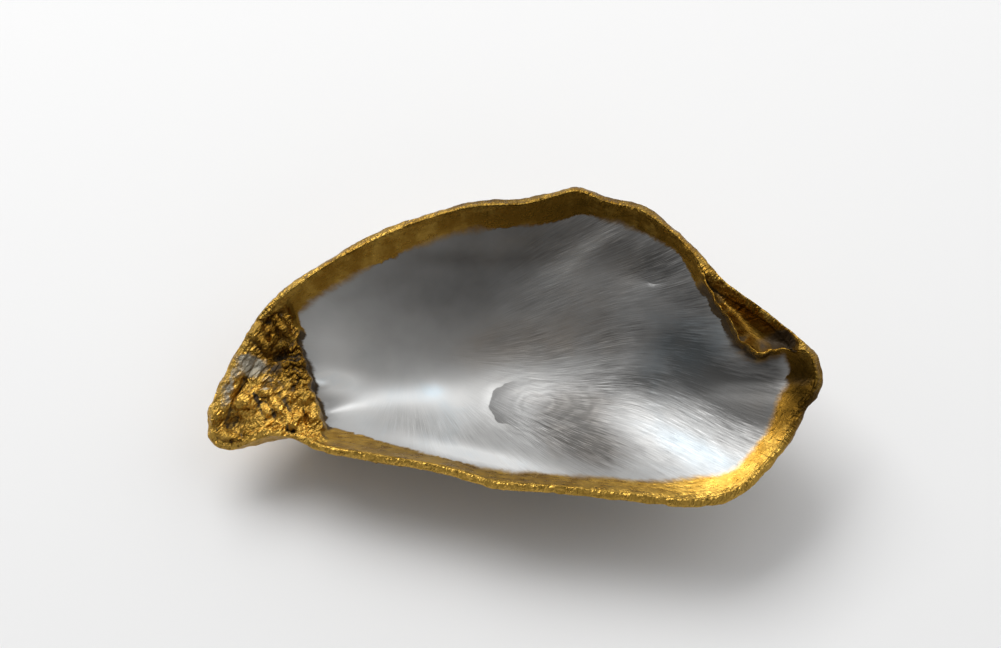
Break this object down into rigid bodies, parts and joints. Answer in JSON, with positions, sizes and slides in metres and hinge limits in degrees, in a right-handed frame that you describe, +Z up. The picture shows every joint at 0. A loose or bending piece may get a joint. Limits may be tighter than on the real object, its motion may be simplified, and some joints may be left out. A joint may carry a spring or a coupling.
{
  "type": "oyster shell dish",
  "caption": "Elongated cupped oyster valve used as a small dish: pearly nacre bowl, knobbly hinge plate, folded lip and gilded wavy margin, resting on a small flat under the belly.",
  "frame": {"origin": "middle of the shell's bounding box in plan, at the height of the flat it rests on", "axes": "+X along the shell from the hinge to the growing margin, +Y across it towards the high side, +Z up out of the bowl"},
  "size_m": [0.112, 0.059, 0.0257],
  "materials": {
    "shell": "pearly grey nacre inside, brushed gold leaf paint on the margin and hinge, weathered chalky shell outside"
  },
  "bodies": {
    "root": {"oyster_shell": "shell"}
  },
  "joints": []
}
